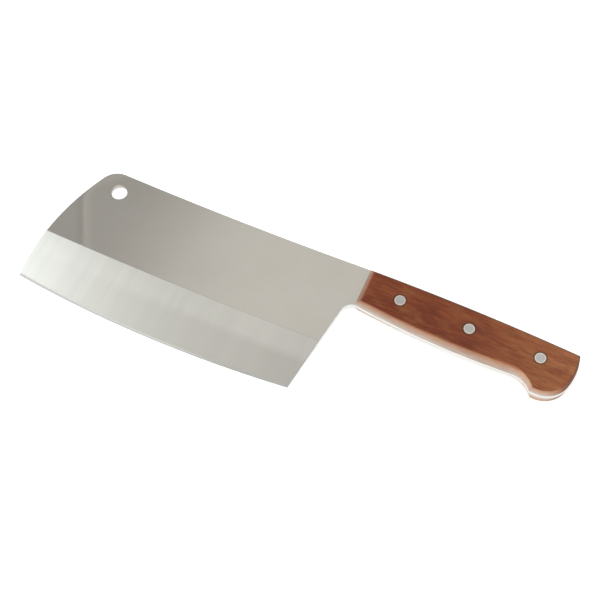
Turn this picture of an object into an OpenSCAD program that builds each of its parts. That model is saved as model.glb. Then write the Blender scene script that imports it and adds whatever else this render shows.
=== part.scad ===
// Chinese cleaver: a broad ground blade whose full tang is riveted between two wooden scales.
// It lies flat: +X runs from the blade to the butt, +Y to the spine, +Z out of the left side.
// The origin is the centre of the hanging hole, midway through the steel. Sizes are in millimetres.

/* [Blade] */
// Straight length of the cutting edge, from its front corner to the heel
edge_len = 180; // [150:1:220]
// Depth of the blade from the spine to the two corners of the edge
blade_h = 90.3; // [80:0.1:110]
// Thickness of the steel, the same along the spine and the tang
blade_t = 3; // [2:0.1:4.5]
// Bow of the cutting edge below its straight length
edge_bow = 5; // [2:0.5:8]
// Hollow of the spine below a straight line
spine_dip = 1.2; // [0.2:0.1:2]
// Radius of the rounded tip between the spine and the front edge
tip_r = 12; // [6:0.5:16]
// Distance of the middle of the tip's round behind the front corner of the edge
tip_setback = 22.6; // [18:0.2:28]
// Angle of the front edge to upright where it leaves the round
tip_lean = 24.5; // [20:0.5:28]
// Angle of the heel to upright
heel_lean = 6.6; // [2:0.1:12]
// Radius of the hollow between the heel and the underside of the tang
heel_r = 7; // [3:0.5:8]
// Angle by which the blade droops from the line of the rivets
droop = 1; // [0:0.1:2]

/* [Grind] */
// Height of the ground face at the two corners of the edge
grind_h = 33.8; // [20:0.1:45]
// Bow of the line where the ground face starts
grind_bow = 1.2; // [0.4:0.1:3]
// Thickness that the grind leaves behind the middle of the edge
edge_t = 0.6; // [0.4:0.05:1]
// Angle of each sharpened face to the middle plane of the blade
edge_angle = 18; // [14:1:25]

/* [Hanging hole] */
// Diameter of the hanging hole
hole_d = 10; // [6:0.5:12]
// Width of the chamfer round both rims of the hole
hole_chamfer = 0.5; // [0.3:0.1:0.9]
// Distance of the hole's centre below the spine
hole_to_spine = 13; // [11:0.5:20]
// Distance of the hole's centre behind the front corner of the edge
hole_setback = 25.7; // [20:0.1:40]

/* [Handle] */
// Length of the handle along its back
grip_len = 131; // [120:1:150]
// Height of the handle where the scales start
grip_h = 25.4; // [22:0.1:30]
// Bare steel between the heel and the scales
neck = 4.6; // [4:0.1:10]
// Rise of the handle's back above a straight line
back_arch = 1.3; // [0.4:0.1:2]
// Fall of the back from the blade to the butt
back_fall = 0.5; // [0:0.1:3]
// Swell of the underside below a straight line
palm_swell = 2.45; // [1:0.05:4]
// Depth of the hook at the butt below the front of the underside
hook_drop = 8.2; // [6:0.1:11]
// Distance of the hook's point from the rear of the back
hook_len = 18.4; // [16:0.2:22]
// Length of the hollow in front of the hook
hollow_len = 13.3; // [10:0.1:16]
// Height of the hollow above the hook's point
hollow_h = 5.7; // [4:0.1:7]
// Radius of the butt's lower corner
butt_r = 15; // [12:0.5:15.5]
// Reach of that corner behind the rear of the back
butt_reach = 0.8; // [0:0.1:1.5]
// Angle turned by that corner before the flatter end of the butt
butt_turn = 75; // [70:1:80]

/* [Scales] */
// Thickness of each wooden scale
scale_t = 5.1; // [4:0.1:8]
// Angle of the scales' front end to upright, leaning towards the blade
front_lean = 3.5; // [0:0.5:6]
// Height of the upright part of that end above the steel
front_wall = 0.5; // [0.3:0.1:2]
// Radius of the round above it
front_round = 4.7; // [2:0.1:6]
// Width of the bevel along the back
back_bevel = 2.4; // [1:0.1:3.4]
// Width of the bevel along the palm
palm_bevel = 2.9; // [1:0.1:4]
// Width of the bevel at the front of the underside
finger_bevel = 1.6; // [0.8:0.1:3]
// Width of the bevel at the rear of the hollow
hollow_bevel = 1.1; // [0.5:0.1:2]
// Width of the bevel at the hook's point
hook_bevel = 0.4; // [0.3:0.1:1.5]
// Width of the bevel round the butt
butt_bevel = 0.9; // [0.6:0.1:3]
// Share of a bevel that is softened where it meets the outer face
arris = 0.3; // [0.1:0.05:0.5]

/* [Rivets] */
// Distance of the front rivet behind the front of the scales
front_margin = 23.5; // [16:0.5:30]
// Distance of the rear rivet in front of the rear of the back
rear_margin = 19.9; // [15:0.1:28]
// Height of the rivets above the hanging hole
rivet_line = 2.1; // [1:0.1:4]
// Diameter of the rivet heads
head_d = 7.1; // [6:0.1:9]
// Thickness of the rivet heads
head_t = 1.5; // [1:0.1:2.5]
// Width of the chamfer round each head
head_chamfer = 0.3; // [0.1:0.05:0.5]
// Outer diameter of the sleeves
sleeve_d = 4.8; // [4:0.1:5.6]
// Diameter of the studs, which are driven into the sleeves
stud_d = 3.2; // [2.4:0.1:3.6]
// Length by which studs and sleeves stop short of the opposite head
rivet_stop = 0.9; // [0.5:0.1:1.5]
// Clearance round a stud in its sleeve
press_gap = 0.01; // [0.005:0.005:0.03]
// Clearance round heads and sleeves in wood and steel
hole_gap = 0.08; // [0.03:0.01:0.2]

/* [Hidden] */
$fn = 96;

steel_colour = "silver";
wood_colour = [0.48, 0.27, 0.19];
rivet_colour = [0.72, 0.72, 0.7];

// Steps in a long and in a short stretch of curve, and in the softened arris
long_steps = 24;
short_steps = 12;
arris_steps = 4;
// Steps of the butt that its last straight takes in, so that it is longer than the back's bevel
corner_steps = 3;
// Spare reach of a cutter past what it cuts
past = 2;

// A point turned about the origin, and a point at a distance from another along a heading
function turned(p, a) = [p.x * cos(a) - p.y * sin(a), p.x * sin(a) + p.y * cos(a)];
function away(p, heading, distance) = p + distance * [cos(heading), sin(heading)];
function heading_of(v) = atan2(v.y, v.x);

// Radius of an arc that rises by a rise over a chord
function bow_r(chord, rise) = (chord * chord / 4 + rise * rise) / (2 * rise);

// Points of an arc about a centre, from angle a0 to angle a1
function round_of(c, r, a0, a1, steps) = [
    for (i = [0:steps]) away(c, a0 + (a1 - a0) * i / steps, r)
];

// Points of an arc from p to q whose middle stands a rise to the left of the straight line
function bow(p, q, rise, steps) =
    let (
        chord = norm(q - p),
        along = (q - p) / chord,
        left = [-along.y, along.x],
        r = bow_r(chord, rise),
        half = asin(chord / 2 / r)
    ) [
        for (i = [0:steps])
        let (a = half * (2 * i / steps - 1))
        p + along * (chord / 2 + r * sin(a)) + left * r * (cos(a) - cos(half))
    ];

// Rise of the arc that leaves p on a heading and ends at q
function rise_for(p, heading, q) = norm(q - p) / 2 * tan((heading - heading_of(q - p)) / 2);

// Blade outline, in the blade's own directions, before the droop
spine_y = hole_to_spine;
corner_y = spine_y - blade_h;
front_corner = [-hole_setback, corner_y];
heel_corner = front_corner + [edge_len, 0];
edge_r = bow_r(edge_len, edge_bow);
edge_centre = (front_corner + heel_corner) / 2 + [0, edge_r - edge_bow];
tip_centre = [front_corner.x + tip_setback, spine_y - tip_r];
tip_end = away(tip_centre, 180 - tip_lean, tip_r);
front_rise = -rise_for(tip_end, 270 - tip_lean, front_corner);
front_r = bow_r(norm(tip_end - front_corner), front_rise);
front_centre = away(tip_end, -tip_lean, front_r);

// Handle outline, which runs with the line of the rivets
function spine_at(x) = spine_y / cos(droop) + x * tan(droop);
heel = turned(heel_corner, droop);
heel_heading = 90 - heel_lean + droop;
heel_top = away(heel, heel_heading, -heel.y / sin(heel_heading));
grip_x = heel_top.x + neck;
back_front = [grip_x, spine_at(grip_x)];
back_rear = back_front + [grip_len, -back_fall];
under_front = back_front - [0, grip_h];
hook_point = [back_rear.x - hook_len, under_front.y - hook_drop];
hollow_start = hook_point + [-hollow_len, hollow_h];
butt_centre = [back_rear.x + butt_reach - butt_r, hook_point.y + butt_r];
butt_end = away(butt_centre, butt_turn - 90, butt_r);
palm_end_heading = heading_of(hollow_start - under_front)
    + 2 * atan(2 * palm_swell / norm(hollow_start - under_front));

// Each point of the handle's outline is followed by the widths of the scales' bevel on the side
// before it and on the side after it, which differ only where two stretches meet at a corner
function corner(p, before, after) = [p.x, p.y, before, after];
function with_bevel(points, from, to) = [
    for (i = [0:len(points) - 1])
    let (width = from + (to - from) * sin(90 * i / (len(points) - 1)))
    corner(points[i], width, width)
];
palm = with_bevel(bow(under_front, hollow_start, -palm_swell, long_steps), finger_bevel, palm_bevel);
hollow = with_bevel(
    bow(hollow_start, hook_point, rise_for(hollow_start, palm_end_heading, hook_point), short_steps),
    palm_bevel, hollow_bevel
);
lower_butt = with_bevel(
    round_of(butt_centre, butt_r, -90, butt_turn - 90, short_steps), hook_bevel, butt_bevel
);
upper_butt = with_bevel(
    bow(butt_end, back_rear, rise_for(butt_end, butt_turn, back_rear), short_steps),
    butt_bevel, butt_bevel
);
back = with_bevel(bow(back_rear, back_front, -back_arch, long_steps), back_bevel, back_bevel);

// The stretches and the corners between them in turn, each point once
function between(points, first, last) = [for (i = [first:last]) points[i]];
grip_line = concat(
    palm,
    between(hollow, 1, short_steps - 1),
    [corner(hook_point, hollow_bevel, hook_bevel)],
    lower_butt,
    between(upper_butt, 1, short_steps - corner_steps),
    [corner(back_rear, butt_bevel, back_bevel)],
    between(back, 1, long_steps)
);

// The same outline run forward past the front of the scales, where they are cut to shape
ahead = [2 * past, 0, 0, 0];
long_line = concat([palm[0] - ahead], grip_line, [back[long_steps] - ahead]);

// Rivets, from the blade to the butt
front_rivet_x = grip_x + front_margin;
rear_rivet_x = back_rear.x - rear_margin;
middle_rivet_x = (front_rivet_x + rear_rivet_x) / 2;
rivet_xs = [front_rivet_x, middle_rivet_x, rear_rivet_x];
half_t = blade_t / 2;
face_z = half_t + scale_t;
seat_z = face_z - head_t;
sleeve_hole_d = sleeve_d + 2 * hole_gap;

// A cylinder about Z between two heights
module post(d, z0, z1) {
    translate([0, 0, z0])
        cylinder(d = d, h = z1 - z0);
}

module at_rivets() {
    for (x = rivet_xs)
        translate([x, rivet_line, 0])
            children();
}

// Steel seen from its left side, but with straight lines for the front and the spine; the
// underside is left open, because the sharpened faces cut it off along the edge
module straight_outline() {
    below = 3 * edge_bow;
    blade_points = [
        [tip_centre.x, spine_y],
        tip_centre,
        away(tip_end, 180 - tip_lean, past),
        [front_corner.x - blade_h, tip_centre.y],
        [front_corner.x - blade_h, corner_y - below],
        away(heel_corner, 270 - heel_lean, below / cos(heel_lean))
    ];
    polygon(concat(
        [for (p = blade_points) turned(p, droop)],
        [away(heel, heel_heading, (under_front.y - heel.y) / sin(heel_heading))],
        [for (p = grip_line) flat(p)]
    ));
}

// Everything behind the curve of the front edge
module behind_front_edge() {
    translate(front_centre)
        circle(front_r);
    translate([front_centre.x, front_centre.y - front_r])
        square([2 * (edge_len + grip_len), 2 * front_r]);
}

// Steel that rounds off the corner between the heel and the underside of the tang
module heel_fillet() {
    middle_y = under_front.y - heel_r;
    heel_at_middle = away(heel, heel_heading, (middle_y - heel.y) / sin(heel_heading));
    middle = heel_at_middle + [heel_r / sin(heel_heading), 0];
    difference() {
        polygon([
            [heel_top.x - 2 * past, under_front.y + past],
            [heel_top.x - 2 * past, middle_y],
            away(middle, heel_heading + 90, heel_r),
            middle,
            middle + [0, heel_r + past]
        ]);
        translate(middle)
            circle(heel_r);
    }
}

// Hollow of the spine, which runs from the round of the tip to the heel
module spine_hollow() {
    hollow_run = heel_top.x - tip_centre.x;
    hollow_r = bow_r(hollow_run, spine_dip);
    translate([tip_centre.x + hollow_run / 2, spine_y - spine_dip + hollow_r])
        circle(hollow_r);
}

module steel_outline() {
    difference() {
        union() {
            intersection() {
                straight_outline();
                rotate(droop)
                    behind_front_edge();
            }
            rotate(droop)
                translate(tip_centre)
                    circle(tip_r);
            heel_fillet();
        }
        rotate(droop)
            spine_hollow();
    }
}

// Two cones base to base: their faces fall by a slope towards a rim round the middle plane
module double_cone(r, slope) {
    rotate_extrude()
        polygon([[0, -r * slope], [r, 0], [0, r * slope]]);
}

// Cones whose faces are the two ground faces of the blade
module ground_faces() {
    line_r = bow_r(edge_len, grind_bow);
    slope = (blade_t - edge_t) / 2 / (grind_h - grind_bow + edge_bow);
    translate([edge_centre.x, corner_y + grind_h - grind_bow + line_r, 0])
        double_cone(line_r + half_t / slope, slope);
}

// Cones whose faces are the two sharpened faces, which meet along the cutting edge
module sharpened_faces() {
    translate([edge_centre.x, edge_centre.y, 0])
        double_cone(edge_r, tan(edge_angle));
}

module hanging_hole() {
    post(hole_d, -half_t - past, half_t + past);
    for (side = [0, 1])
        mirror([0, 0, side])
            translate([0, 0, half_t - hole_chamfer])
                cylinder(h = 2 * hole_chamfer, d1 = hole_d, d2 = hole_d + 4 * hole_chamfer);
}

module blade() {
    color(steel_colour)
        difference() {
            intersection() {
                linear_extrude(blade_t, center = true)
                    steel_outline();
                rotate(droop)
                    ground_faces();
                rotate(droop)
                    sharpened_faces();
            }
            hanging_hole();
            at_rivets()
                post(sleeve_hole_d, -half_t - past, half_t + past);
        }
}

// Each ring of a scale: the share of the bevel that it is drawn in by, and its height
rings = concat(
    [[0, half_t]],
    [
        for (i = [0:arris_steps])
        let (t = i / arris_steps)
        [1 - arris + 2 * arris * t, half_t + scale_t * (1 - arris * (1 - t) ^ 2)]
    ]
);

// Move that draws a point of a closed line in by the widths of the bevel on both its sides
function left_of(v) = [-v.y, v.x] / norm(v);
function flat(p) = [p.x, p.y];
function drawn_in(line, i) =
    let (
        n = len(line),
        before = left_of(flat(line[i]) - flat(line[(i + n - 1) % n])),
        after = left_of(flat(line[(i + 1) % n]) - flat(line[i])),
        straight = before * after,
        width = line[i][3],
        extra = line[i][2] - width,
        alike = width * (before + after) / (1 + straight)
    )
    extra == 0 ? alike : alike + extra * (before - straight * after) / (1 - straight ^ 2);

// Wood between the rings, from the steel to the outer face
module rounded_slab(line) {
    n = len(line);
    inward = [for (i = [0:n - 1]) drawn_in(line, i)];
    points = [
        for (ring = rings, i = [0:n - 1])
        let (p = flat(line[i]) + ring.x * inward[i])
        [p.x, p.y, ring.y]
    ];
    sides = [
        for (k = [0:len(rings) - 2], i = [0:n - 1], upper = [0, 1])
        let (low = k * n, high = low + n, j = (i + 1) % n)
        upper ? [low + i, high + i, high + j] : [low + i, high + j, low + j]
    ];
    // Strips across the slab, from the underside and the butt to their counterparts on the back
    inner = [for (i = [0:n / 2 - 2]) [i, i + 1, n - 2 - i, n - 1 - i]];
    outer_start = (len(rings) - 1) * n;
    outer = [for (strip = inner) [for (i = [3:-1:0]) outer_start + strip[i]]];
    polyhedron(points, concat(sides, inner, outer));
}

// Everything behind the rounded front end of a scale, as seen from its underside
module behind_front() {
    middle = [front_round, half_t + front_wall];
    reach = 2 * grip_len;
    translate(under_front)
        rotate([90, 0, front_lean])
            linear_extrude(reach, center = true) {
                square([reach, middle.y]);
                translate([middle.x, 0])
                    square([reach, face_z + past]);
                translate(middle)
                    circle(front_round);
            }
}

module wooden_scale() {
    color(wood_colour)
        difference() {
            intersection() {
                rounded_slab(long_line);
                behind_front();
            }
            at_rivets() {
                post(sleeve_hole_d, 0, face_z + past);
                post(head_d + 2 * hole_gap, seat_z, face_z + past);
            }
        }
}

module left_scale() {
    wooden_scale();
}

module right_scale() {
    mirror([0, 0, 1])
        wooden_scale();
}

// Head of a rivet, let into the wood and flush with it
module rivet_head() {
    post(head_d, seat_z, face_z - head_chamfer);
    translate([0, 0, face_z - head_chamfer])
        cylinder(h = head_chamfer, d1 = head_d, d2 = head_d - 2 * head_chamfer);
}

// Half of a rivet that is let in from the left, bored to take the stud
module rivet_sleeve(x) {
    color(rivet_colour)
        translate([x, rivet_line, 0])
            difference() {
                union() {
                    rivet_head();
                    post(sleeve_d, rivet_stop - seat_z, seat_z);
                }
                post(stud_d + 2 * press_gap, -seat_z, seat_z);
            }
}

// Half of a rivet that is driven in from the right
module rivet_stud(x) {
    color(rivet_colour)
        translate([x, rivet_line, 0]) {
            mirror([0, 0, 1])
                rivet_head();
            post(stud_d, -seat_z, seat_z - rivet_stop);
        }
}

module front_rivet_sleeve() {
    rivet_sleeve(front_rivet_x);
}

module front_rivet_stud() {
    rivet_stud(front_rivet_x);
}

module middle_rivet_sleeve() {
    rivet_sleeve(middle_rivet_x);
}

module middle_rivet_stud() {
    rivet_stud(middle_rivet_x);
}

module rear_rivet_sleeve() {
    rivet_sleeve(rear_rivet_x);
}

module rear_rivet_stud() {
    rivet_stud(rear_rivet_x);
}

blade();
left_scale();
right_scale();
front_rivet_sleeve();
front_rivet_stud();
middle_rivet_sleeve();
middle_rivet_stud();
rear_rivet_sleeve();
rear_rivet_stud();
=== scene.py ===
"""Looks of a Chinese cleaver: ground steel blade, two wooden scales and six rivet halves.

Lengths are in metres and the frame is the CAD's: the origin is the centre of the hanging hole, +X runs
to the butt, +Y to the spine and +Z out of the left side. The cleaver lies on its right side.
"""

import math

import bpy
from mathutils import Matrix, Vector


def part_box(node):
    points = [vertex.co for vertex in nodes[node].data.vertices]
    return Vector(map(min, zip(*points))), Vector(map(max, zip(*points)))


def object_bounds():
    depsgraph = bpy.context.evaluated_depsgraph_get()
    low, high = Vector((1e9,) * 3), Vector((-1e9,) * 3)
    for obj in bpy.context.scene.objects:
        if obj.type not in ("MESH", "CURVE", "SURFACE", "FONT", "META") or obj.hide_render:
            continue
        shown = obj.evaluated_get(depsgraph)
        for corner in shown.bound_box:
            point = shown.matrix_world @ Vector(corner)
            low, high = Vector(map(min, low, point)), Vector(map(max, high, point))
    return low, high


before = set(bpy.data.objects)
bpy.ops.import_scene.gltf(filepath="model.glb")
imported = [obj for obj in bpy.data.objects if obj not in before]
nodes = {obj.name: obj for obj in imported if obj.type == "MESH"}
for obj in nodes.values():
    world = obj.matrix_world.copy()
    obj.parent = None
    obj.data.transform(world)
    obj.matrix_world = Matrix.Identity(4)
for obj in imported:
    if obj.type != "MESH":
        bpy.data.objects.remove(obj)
cad_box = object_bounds()

MM = 0.001
DROOP = math.radians(1.0)  # the blade droops from the line of the rivets
EDGE_CENTRE = (0.0643, 0.7302)  # middle of the cutting edge's arc, before the droop
EDGE_R = 0.8125
HONED_WIDTH = 1.2 * MM  # a little more than the sharpened face
GRIND_CENTRE = (0.0643, 3.3313)  # middle of the arc where the ground face starts
GRIND_R = 3.3756
HOLE_RIM_R = 5.5 * MM  # outside of the hanging hole's chamfer
RIVET_R = 3.55 * MM  # a rivet's head
HALF_TANG = 1.5 * MM
HALF_HANDLE = 6.6 * MM


def centre_of(name):
    """Middle of a CAD node, seen along Z."""
    low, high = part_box(name)
    middle = (low + high) / 2
    return (middle.x, middle.y)


RIVETS = [centre_of(place + "_rivet_sleeve") for place in ("front", "middle", "rear")]


# Shader graphs


class Graph:
    """A material's node tree, with short calls for the nodes used below."""

    def __init__(self, name):
        self.material = bpy.data.materials.new(name)
        self.material.use_nodes = True
        self.tree = self.material.node_tree
        self.tree.nodes.clear()
        self.shader = self.add("ShaderNodeBsdfPrincipled")
        self.surface = self.add("ShaderNodeOutputMaterial").inputs["Surface"]
        self.link(self.shader.outputs["BSDF"], self.surface)
        coordinates = self.add("ShaderNodeTexCoord")
        self.place = coordinates.outputs["Object"]
        self.facing = coordinates.outputs["Normal"]

    def add(self, kind, **settings):
        node = self.tree.nodes.new(kind)
        for key, value in settings.items():
            setattr(node, key, value)
        return node

    def link(self, output, socket):
        self.tree.links.new(output, socket)

    def feed(self, socket, value):
        """Links an output to a socket, or sets the socket to a plain value."""
        if isinstance(value, bpy.types.NodeSocket):
            self.link(value, socket)
        else:
            socket.default_value = value

    def math(self, operation, *values):
        node = self.add("ShaderNodeMath", operation=operation)
        for socket, value in zip(node.inputs, values):
            self.feed(socket, value)
        return node.outputs[0]

    def axes(self, vector):
        """The shares of a vector along X, Y and Z."""
        split = self.add("ShaderNodeSeparateXYZ")
        self.link(vector, split.inputs[0])
        return split.outputs

    def stretched(self, scale, turn=(0, 0, 0)):
        """The place on the object turned, then stretched by the scale along each axis."""
        turner = self.add("ShaderNodeMapping")
        turner.inputs["Rotation"].default_value = turn
        self.link(self.place, turner.inputs["Vector"])
        stretcher = self.add("ShaderNodeMapping")
        stretcher.inputs["Scale"].default_value = scale
        self.link(turner.outputs[0], stretcher.inputs["Vector"])
        return stretcher.outputs[0]

    def noise(self, vector, scale=1.0, detail=4.0, roughness=0.55, distortion=0.0):
        node = self.add("ShaderNodeTexNoise")
        self.link(vector, node.inputs["Vector"])
        node.inputs["Scale"].default_value = scale
        node.inputs["Detail"].default_value = detail
        node.inputs["Roughness"].default_value = roughness
        node.inputs["Distortion"].default_value = distortion
        return node.outputs["Fac"]

    def span(self, value, low, high, to_low=0.0, to_high=1.0, smooth=False):
        """The value carried from one span to another, held at its ends."""
        node = self.add("ShaderNodeMapRange", clamp=True)
        node.interpolation_type = "SMOOTHSTEP" if smooth else "LINEAR"
        for key, number in zip(
            ("From Min", "From Max", "To Min", "To Max"), (low, high, to_low, to_high)
        ):
            node.inputs[key].default_value = number
        self.link(value, node.inputs["Value"])
        return node.outputs[0]

    def ramp(self, value, stops):
        """The value carried through smooth grey levels, given as places and levels."""
        node = self.add("ShaderNodeValToRGB")
        node.color_ramp.interpolation = "EASE"
        elements = node.color_ramp.elements
        while len(elements) < len(stops):
            elements.new(0.5)
        for element, (place, level) in zip(elements, stops):
            element.position = place
            element.color = (level, level, level, 1)
        self.link(value, node.inputs["Fac"])
        return node.outputs["Color"]

    def blend(self, share, first, second):
        """The first colour carried to the second by the share."""
        node = self.add("ShaderNodeMix", data_type="RGBA")
        self.feed(node.inputs["Factor"], share)
        self.feed(node.inputs["A"], first)
        self.feed(node.inputs["B"], second)
        return node.outputs["Result"]

    def mix_numbers(self, share, first, second):
        """The first number carried to the second by the share."""
        node = self.add("ShaderNodeMix", data_type="FLOAT")
        for key, output in zip(("Factor", "A", "B"), (share, first, second)):
            self.link(output, node.inputs[key])
        return node.outputs["Result"]

    def length(self, dx, dy):
        """Length of a line, from its shares along two axes."""
        squares = [self.math("MULTIPLY", share, share) for share in (dx, dy)]
        return self.math("SQRT", self.math("ADD", *squares))

    def distance(self, centre):
        """Distance from a line along Z through the centre."""
        x, y, _ = self.axes(self.place)
        return self.length(self.math("SUBTRACT", x, centre[0]), self.math("SUBTRACT", y, centre[1]))

    def past_line(self, x, y, heading, reach):
        """Distance to the right of a line with a heading in degrees, at a reach from the origin."""
        heading = math.radians(heading)
        across = self.math("MULTIPLY", x, math.sin(heading))
        back = self.math("MULTIPLY", y, math.cos(heading))
        return self.math("SUBTRACT", self.math("SUBTRACT", across, back), reach)

    def edges(self, reach):
        """Share of the surface within a reach of a sharp edge, full at the edge itself."""
        rounded = self.add("ShaderNodeBevel", samples=8)
        rounded.inputs["Radius"].default_value = reach
        alike = self.add("ShaderNodeVectorMath", operation="DOT_PRODUCT")
        self.link(rounded.outputs["Normal"], alike.inputs[0])
        self.link(self.facing, alike.inputs[1])
        return self.span(alike.outputs["Value"], 0.80, 0.995, 1.0, 0.0)

    def bump(self, height, depth, strength, over=None):
        """A surface in fine relief, laid over another one where that is given."""
        node = self.add("ShaderNodeBump")
        node.inputs["Distance"].default_value = depth
        node.inputs["Strength"].default_value = strength
        self.link(height, node.inputs["Height"])
        if over is not None:
            self.link(over, node.inputs["Normal"])
        return node.outputs["Normal"]


# Materials


def drooped(point):
    """A point of the blade turned with its droop about the hanging hole."""
    x, y = point
    return (
        x * math.cos(DROOP) - y * math.sin(DROOP),
        x * math.sin(DROOP) + y * math.cos(DROOP),
    )


def slanting_scratches(g):
    """Faint scratches, some falling and some rising towards the handle."""
    falling = g.noise(g.stretched((16, 1500, 60), (0, 0, 0.5)), detail=2)
    rising = g.noise(g.stretched((22, 1300, 60), (0, 0, -0.75)), detail=2)
    return g.math("MAXIMUM", g.span(falling, 0.70, 0.76), g.span(rising, 0.71, 0.77))


def ground_face_tone(g, past_grind):
    """Tone of the ground face: grinding strokes over a painted reflection in two bands, the one along
    the grind line brighter and the lower one dimmer towards the heel.
    """
    x, _, _ = g.axes(g.place)
    to_heel = g.span(x, 0.0, 0.14)
    # Painted reflection: the band along the grind line brightens towards the heel, the lower band dims
    painted_upper_band = g.blend(to_heel, (0.638, 0.641, 0.603, 1), (0.670, 0.665, 0.626, 1))
    painted_lower_band = g.blend(to_heel, (0.610, 0.612, 0.578, 1), (0.560, 0.553, 0.517, 1))
    tone = g.blend(g.span(past_grind, 11 * MM, 19 * MM, smooth=True), painted_upper_band, painted_lower_band)
    strokes = g.noise(g.stretched((150, 5, 5), (0, 0, -DROOP)), detail=3)
    return g.blend(g.span(strokes, 0.42, 0.62, 0.0, 0.14), tone, (0.45, 0.45, 0.43, 1))


def honed_edge_tone(g):
    """Tone of the honed edge: a painted highlight, bright towards the tip and darker towards the
    heel.
    """
    x, _, _ = g.axes(g.place)
    to_heel = g.span(x, 0.07, 0.13, smooth=True)
    return g.blend(to_heel, (0.77, 0.77, 0.75, 1), (0.54, 0.54, 0.52, 1))


def make_blade_steel():
    """Steel with a polished flat, a ground face with lines across it, a honed edge, satin sides, and
    painted light: reflections in bands on the ground face, a highlight on the honed edge, a dark
    line along the edges and shade in the hole.
    """
    g = Graph("blade_steel")
    along = g.noise(g.stretched((9, 900, 900), (0, 0, -DROOP)), detail=5)
    across = g.noise(g.stretched((1100, 14, 14), (0, 0, -DROOP)), detail=5)
    clouds = g.noise(g.place, scale=22, detail=3)
    smudges = g.noise(g.place, scale=60, distortion=0.6)

    # Where each finish lies: the ground face, the honed edge, the hole's rim and the sides
    past_grind = g.math("SUBTRACT", g.distance(drooped(GRIND_CENTRE)), GRIND_R)
    ground = g.span(past_grind, -0.1 * MM, 0.1 * MM)
    honed_start = EDGE_R - HONED_WIDTH
    honed = g.span(g.distance(drooped(EDGE_CENTRE)), honed_start - 0.3 * MM, honed_start)
    hole = g.span(g.distance((0, 0)), HOLE_RIM_R - 0.1 * MM, HOLE_RIM_R + 0.1 * MM, 1.0, 0.0)
    _, _, facing_z = g.axes(g.facing)
    side = g.span(g.math("ABSOLUTE", facing_z), 0.3, 0.6, 1.0, 0.0)
    lines = g.mix_numbers(ground, along, across)

    # Tones from the flat, over the ground face with the burr line at its start, to the rims
    tone = g.blend(g.span(clouds, 0.35, 0.65), (0.605, 0.582, 0.535, 1), (0.630, 0.608, 0.562, 1))
    line_share = g.math("MULTIPLY", g.span(lines, 0.3, 0.7), g.span(ground, 0, 1, 0.07, 0.20))
    tone = g.blend(line_share, tone, (0.50, 0.485, 0.45, 1))
    tone = g.blend(g.math("MULTIPLY", ground, 0.8), tone, ground_face_tone(g, past_grind))
    burr = g.span(g.math("ABSOLUTE", past_grind), 0.0, 0.35 * MM, 0.28, 0.0)
    tone = g.blend(burr, tone, (0.30, 0.29, 0.28, 1))
    # The honed edge carries a painted highlight, bright towards the tip and darker towards the heel
    tone = g.blend(honed, tone, honed_edge_tone(g))
    side_tone = g.blend(g.span(along, 0.35, 0.65), (0.64, 0.63, 0.60, 1), (0.77, 0.76, 0.73, 1))
    tone = g.blend(side, tone, side_tone)
    # Painted reflection: a dark line along the sharp edges
    tone = g.blend(g.edges(0.35 * MM), tone, (0.22, 0.24, 0.25, 1))
    # Painted shade in the hole, tinted warm like a painted reflection of its chamfer
    tone = g.blend(hole, tone, (0.52, 0.50, 0.46, 1))
    g.link(tone, g.shader.inputs["Base Color"])
    g.shader.inputs["Metallic"].default_value = 1.0

    # A near mirror on the flat, satin on the ground face and duller still at the rims
    rough = g.span(lines, 0.3, 0.7, 0.020, 0.035)
    rough = g.math("ADD", rough, g.span(smudges, 0.4, 0.7, 0.0, 0.015))
    rough = g.math("ADD", rough, g.math("MULTIPLY", ground, 0.15))
    coarse = g.math("MAXIMUM", g.math("MAXIMUM", honed, hole), side)
    rough = g.math("ADD", rough, g.math("MULTIPLY", coarse, 0.22))
    g.link(rough, g.shader.inputs["Roughness"])
    fine = g.bump(lines, 0.0006 * MM, 0.6)
    g.link(g.bump(slanting_scratches(g), 0.0015 * MM, 0.5, over=fine), g.shader.inputs["Normal"])
    return g.material


def grained_tone(g, streaks, pits):
    """Tone of the wood, lighter towards the butt, with a painted shade that makes it darker and of a
    deeper red on the palm's side, and with its grain of wide bands, patches, fine streaks and pits."""
    x, y, _ = g.axes(g.place)
    bands = g.noise(g.stretched((22, 230, 180), (0, 0.02, 0.03)), detail=5, distortion=1.0)
    patches = g.noise(g.stretched((60, 130, 130)), roughness=0.6)
    band = g.span(bands, 0.35, 0.65)
    front_tone = g.blend(band, (0.156, 0.027, 0.003, 1), (0.214, 0.047, 0.008, 1))
    butt_tone = g.blend(band, (0.252, 0.068, 0.019, 1), (0.350, 0.125, 0.043, 1))
    tone = g.blend(g.span(x, 0.21, 0.31, smooth=True), front_tone, butt_tone)
    # Painted shade: darker and deeper red towards the palm's side, most at the front
    palm_side_shade = g.math("MULTIPLY", g.span(y, 0.006, -0.009), g.span(x, 0.24, 0.29, 0.42, 0.10))
    tone = g.blend(palm_side_shade, tone, (0.085, 0.002, 0.0, 1))
    tone = g.blend(g.span(patches, 0.50, 0.72, 0.0, 0.6), tone, (0.250, 0.090, 0.026, 1))
    tone = g.blend(g.span(patches, 0.48, 0.28, 0.0, 0.6), tone, (0.090, 0.013, 0.004, 1))
    tone = g.blend(g.span(streaks, 0.50, 0.68, 0.0, 0.46), tone, (0.080, 0.013, 0.004, 1))
    tone = g.blend(g.span(streaks, 0.48, 0.30, 0.0, 0.33), tone, (0.290, 0.090, 0.028, 1))
    return g.blend(g.math("MULTIPLY", pits, 0.6), tone, (0.035, 0.010, 0.005, 1))


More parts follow.
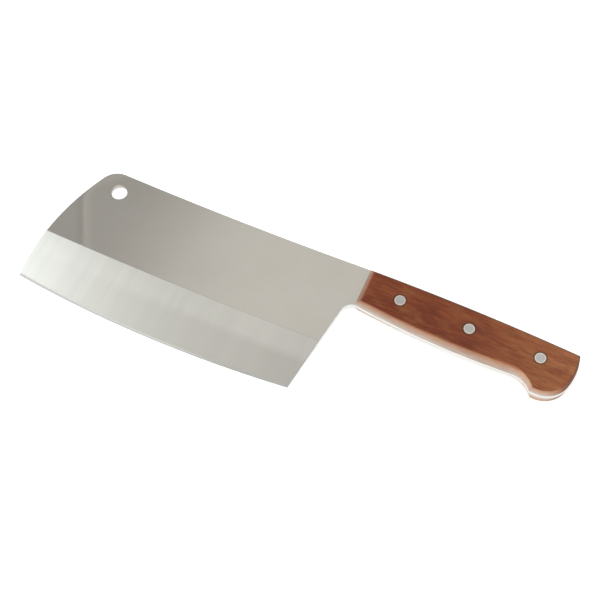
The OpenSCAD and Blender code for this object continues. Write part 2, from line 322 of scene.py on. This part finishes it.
def with_palm_highlight(g, tone, streaks):
    """The tone made lighter along the palm by a painted highlight, from orange at the outer face to
    pale at the tang.
    """
    _, _, z = g.axes(g.place)
    _, facing_y, _ = g.axes(g.facing)
    to_tang = g.span(g.math("ABSOLUTE", z), HALF_HANDLE - 0.6 * MM, HALF_TANG + 1.0 * MM)
    facing_palm = g.span(facing_y, -0.90, -0.55, 1.0, 0.0)
    # Painted highlight on the faces turned down to the front
    palm = g.math("MULTIPLY", facing_palm, g.span(to_tang, 0, 1, 0.40, 0.66))
    palm = g.math("MULTIPLY", palm, g.span(streaks, 0.40, 0.62, 1.12, 0.90))
    return g.blend(palm, tone, g.blend(to_tang, (0.46, 0.25, 0.145, 1), (0.425, 0.33, 0.28, 1)))


def make_handle_wood():
    """Oiled red-brown wood with its grain along the handle. Painted highlights make it paler along the
    palm and at the front end; painted shade makes it darker at the back's corner and, with the end
    grain, on the butt. It is darker round the rivets too."""
    g = Graph("handle_wood")
    facing_x, facing_y, _ = g.axes(g.facing)
    streaks = g.noise(g.stretched((110, 900, 750), (0, 0.02, 0.02)), detail=5, roughness=0.65)
    pores = g.noise(g.stretched((220, 3000, 2200), (0, 0.02, 0.02)), detail=2)
    pits = g.span(pores, 0.62, 0.72)

    tone = with_palm_highlight(g, grained_tone(g, streaks, pits), streaks)
    # Painted highlight: the front end, turned to the blade, is made paler
    tone = g.blend(g.span(facing_x, -0.60, -0.20, 0.32, 0.0), tone, (0.46, 0.35, 0.275, 1))
    # Painted shade: the back's rounded corner, turned away from the light, is made darker
    corner = g.math("MULTIPLY", g.span(facing_y, 0.03, 0.30), g.span(facing_y, 0.75, 0.88, 0.8, 0.0))
    tone = g.blend(corner, tone, (0.090, 0.050, 0.042, 1))
    # The butt's end grain is darker and rougher; its darkening is partly a painted shade
    end_grain_and_shade = g.math("MULTIPLY", g.span(facing_x, 0.25, 0.65), g.span(facing_y, -0.70, -0.20))
    tone = g.blend(g.math("MULTIPLY", end_grain_and_shade, 0.42), tone, (0.070, 0.022, 0.008, 1))
    for centre in RIVETS:
        reach = g.distance(centre)
        ring = g.span(reach, RIVET_R + 0.15 * MM, RIVET_R + 1.05 * MM, 0.65, 0.0, smooth=True)
        tone = g.blend(ring, tone, (0.040, 0.012, 0.006, 1))
    g.link(tone, g.shader.inputs["Base Color"])

    rough = g.math("ADD", g.span(streaks, 0.4, 0.7, 0.36, 0.45), g.math("MULTIPLY", pits, 0.15))
    rough = g.math("ADD", rough, g.math("MULTIPLY", end_grain_and_shade, 0.35))
    g.link(rough, g.shader.inputs["Roughness"])
    g.shader.inputs["Specular IOR Level"].default_value = 0.28
    grain = g.bump(streaks, 0.015 * MM, 0.5)
    sunk = g.math("SUBTRACT", 1.0, pits)
    g.link(g.bump(sunk, 0.02 * MM, 0.5, over=grain), g.shader.inputs["Normal"])
    return g.material


def make_rivet_metal():
    """Light satin metal, sanded along the handle together with the wood, with a painted highlight on
    the rims.
    """
    g = Graph("rivet_metal")
    sanding = g.noise(g.stretched((40, 1500, 1500), (0, 0, 0.08)), detail=4)
    clouds = g.noise(g.place, scale=350, detail=3)
    tone = g.blend(g.span(clouds, 0.3, 0.7), (0.505, 0.50, 0.485, 1), (0.565, 0.555, 0.535, 1))
    tone = g.blend(g.span(sanding, 0.45, 0.7, 0.0, 0.4), tone, (0.45, 0.445, 0.43, 1))
    for centre in RIVETS:
        reach = g.distance(centre)
        own_head = g.span(reach, RIVET_R + 0.45 * MM, RIVET_R + 1.45 * MM, 1.0, 0.0)
        # Painted highlight: a cream ring on each head's rim
        rim = g.span(reach, RIVET_R - 1.15 * MM, RIVET_R - 0.45 * MM)
        tone = g.blend(g.math("MULTIPLY", rim, own_head), tone, (0.80, 0.73, 0.64, 1))
    g.link(tone, g.shader.inputs["Base Color"])
    g.shader.inputs["Metallic"].default_value = 1.0
    g.link(g.span(sanding, 0.3, 0.7, 0.26, 0.38), g.shader.inputs["Roughness"])
    g.link(g.bump(sanding, 0.006 * MM, 0.5), g.shader.inputs["Normal"])
    return g.material


def dress(node, material, smooth_angle):
    """Gives a CAD node its material, and smooth shading across edges flatter than the angle, in
    degrees, in place of the shading that it was loaded with."""
    mesh = node.data
    mesh.materials.clear()
    mesh.materials.append(material)
    if "custom_normal" in mesh.attributes:
        mesh.attributes.remove(mesh.attributes["custom_normal"])
    mesh.shade_smooth()
    mesh.set_sharp_from_angle(angle=math.radians(smooth_angle))
    even = node.modifiers.new("even_shading", "WEIGHTED_NORMAL")
    even.keep_sharp = True


blade_steel = make_blade_steel()
handle_wood = make_handle_wood()
rivet_metal = make_rivet_metal()
for name, node in nodes.items():
    if name == "blade":
        # The ground face leans only two degrees from the flat, and that line has to stay sharp
        dress(node, blade_steel, smooth_angle=1.0)
    elif name.endswith("_scale"):
        dress(node, handle_wood, smooth_angle=25.0)
    else:
        dress(node, rivet_metal, smooth_angle=20.0)


# Stage: floor, soft lights, a ceiling to mirror, and the camera


def panel(name, size, place, target, power, colour=(1, 1, 1)):
    """A soft rectangular light at a place, turned to a target and hidden from reflections."""
    data = bpy.data.lights.new(name, "AREA")
    data.shape = "RECTANGLE"
    data.size, data.size_y = size
    data.energy = power
    data.color = colour
    light = bpy.data.objects.new(name, data)
    light.location = place
    light.rotation_mode = "QUATERNION"
    light.rotation_quaternion = (Vector(target) - Vector(place)).to_track_quat("-Z", "Y")
    light.visible_camera = False
    light.visible_glossy = False
    bpy.context.scene.collection.objects.link(light)


def make_plane(name, side, height, material):
    """A level square of the stage, centred over the origin."""
    reach = side / 2
    corners = [(-reach, -reach), (reach, -reach), (reach, reach), (-reach, reach)]
    mesh = bpy.data.meshes.new(name)
    mesh.from_pydata([(x, y, height) for x, y in corners], [], [(0, 1, 2, 3)])
    mesh.materials.append(material)
    plane = bpy.data.objects.new(name, mesh)
    bpy.context.scene.collection.objects.link(plane)
    return plane


def make_floor_paint():
    """White floor lit a little from below, as a light table is, which keeps shadows faint. Seen from
    below it is clear, so that the underside of the cleaver shows."""
    g = Graph("floor_paint")
    clear = g.add("ShaderNodeBsdfTransparent")
    one_sided = g.add("ShaderNodeMixShader")
    g.link(g.add("ShaderNodeNewGeometry").outputs["Backfacing"], one_sided.inputs["Fac"])
    g.link(g.shader.outputs["BSDF"], one_sided.inputs[1])
    g.link(clear.outputs["BSDF"], one_sided.inputs[2])
    g.link(one_sided.outputs["Shader"], g.surface)
    g.shader.inputs["Base Color"].default_value = (0.60, 0.60, 0.60, 1)
    g.shader.inputs["Roughness"].default_value = 0.9
    g.shader.inputs["Specular IOR Level"].default_value = 0.0
    g.shader.inputs["Emission Color"].default_value = (1, 1, 1, 1)
    g.shader.inputs["Emission Strength"].default_value = 0.65
    return g.material


# Two sides of a soft box on the ceiling, as headings in degrees and reaches from the origin
BOX_SIDES = ((121.8, -0.279), (46.5, -1.128))
BOX_CORNER_R = 0.0445


def inside_box(g, x, y):
    """Distance inside the rounded corner between the soft box's sides, up to its radius."""
    sides = [g.past_line(x, y, heading, reach) for heading, reach in BOX_SIDES]
    gaps = [g.math("MAXIMUM", g.math("SUBTRACT", BOX_CORNER_R, side), 0.0) for side in sides]
    return g.math("SUBTRACT", BOX_CORNER_R, g.length(*gaps))


def make_ceiling_glow():
    """A ceiling lit unevenly. The blade's flat mirrors the part behind, which dims over the tip and
    shows the rim of a soft box. Its ground face mirrors the part in front, with a lamp there."""
    g = Graph("ceiling_glow")
    x, y, _ = g.axes(g.place)

    # Levels along X behind and in front, with the rim of the soft box laid over the first
    across = g.span(x, -1.0, 0.4)
    behind = g.ramp(across, [(0.18, 0.47), (0.44, 0.795), (0.56, 0.785), (0.63, 0.50), (0.85, 1.00)])
    front = g.ramp(across, [(0.0, 0.82), (0.56, 0.83), (0.63, 0.50), (0.85, 1.00)])
    over_rim = g.span(inside_box(g, x, y), -0.02, 0.04)
    rim = g.ramp(over_rim, [(0.0, 0.45), (0.32, 0.10), (0.36, 1.0), (0.72, 0.5)])
    behind = g.math("ADD", behind, g.math("MULTIPLY", g.math("SUBTRACT", rim, 0.5), 0.18))
    in_front = g.span(y, 0.54, 0.62, 1.0, 0.0, smooth=True)

    # The lamp, faded out at its four sides
    lamp = g.math("MULTIPLY", g.math("POWER", g.span(x, -0.86, -0.36, 1.0, 0.0), 2.0), in_front)
    lamp = g.math("MULTIPLY", lamp, g.span(x, -1.4, -1.0, smooth=True))
    lamp = g.math("MULTIPLY", lamp, g.span(y, -0.1, 0.25, smooth=True))

    level = g.math("ADD", g.blend(in_front, behind, front), g.math("MULTIPLY", lamp, 1.2))
    g.link(level, g.shader.inputs["Emission Strength"])
    colour = g.blend(lamp, (1.0, 0.985, 0.95, 1), (1.0, 1.05, 1.08, 1))
    g.link(colour, g.shader.inputs["Emission Color"])
    g.shader.inputs["Base Color"].default_value = (0, 0, 0, 1)
    return g.material


floor_z = cad_box[0].z - 0.1 * MM
make_plane("floor", side=12, height=floor_z, material=make_floor_paint())

# The ceiling shows in reflections alone
ceiling = make_plane("ceiling", side=5, height=1.5, material=make_ceiling_glow())
ceiling.visible_camera = False
ceiling.visible_diffuse = False
ceiling.visible_shadow = False

panel("top_light", size=(2.2, 2.2), place=(0.0, -0.1, 1.4), target=(0.13, -0.02, 0), power=14)
panel(
    "low_front_light", size=(1.4, 0.26), place=(-0.05, -1.0, 0.125), target=(0.2, 0, 0),
    power=14, colour=(0.75, 1, 1.05),
)
panel("low_left_light", size=(0.6, 0.4), place=(-0.85, 0.52, 0.26), target=(0.17, 0, 0), power=6)

world = bpy.data.worlds.new("studio")
world.use_nodes = True
background = world.node_tree.nodes["Background"]
background.inputs["Color"].default_value = (1.0, 1.0, 1.0, 1)
background.inputs["Strength"].default_value = 0.55
bpy.context.scene.world = world
bpy.context.scene.view_settings.view_transform = "Standard"

# The camera looks at a point of the blade's middle plane from a distance; its heading is the
# way it leans from straight above, and it is rolled about its own line of sight
TARGET = Vector((0.13626, -0.01989, 0))
DISTANCE = 0.77027
HEADING, TILT, ROLL = (math.radians(angle) for angle in (-60.351, 29.950, -29.821))
SENSOR_WIDTH = 36  # millimetres
FOCAL_LENGTH = 1298.5  # in pixels of the picture
PICTURE_WIDTH = 600
lean = math.sin(TILT)
back = Vector((lean * math.cos(HEADING), lean * math.sin(HEADING), math.cos(TILT)))
level = (-back).cross(Vector((0, 1, 0))).normalized()
down = (-back).cross(level)
right = math.cos(ROLL) * level + math.sin(ROLL) * down
up = math.sin(ROLL) * level - math.cos(ROLL) * down

camera_data = bpy.data.cameras.new("camera")
camera_data.sensor_width = SENSOR_WIDTH
camera_data.lens = SENSOR_WIDTH * FOCAL_LENGTH / PICTURE_WIDTH
camera_data.clip_start = 0.01
camera = bpy.data.objects.new("camera", camera_data)
turn = Matrix((right, up, back)).transposed().to_4x4()
camera.matrix_world = Matrix.Translation(TARGET + DISTANCE * back) @ turn
bpy.context.scene.collection.objects.link(camera)
bpy.context.scene.camera = camera
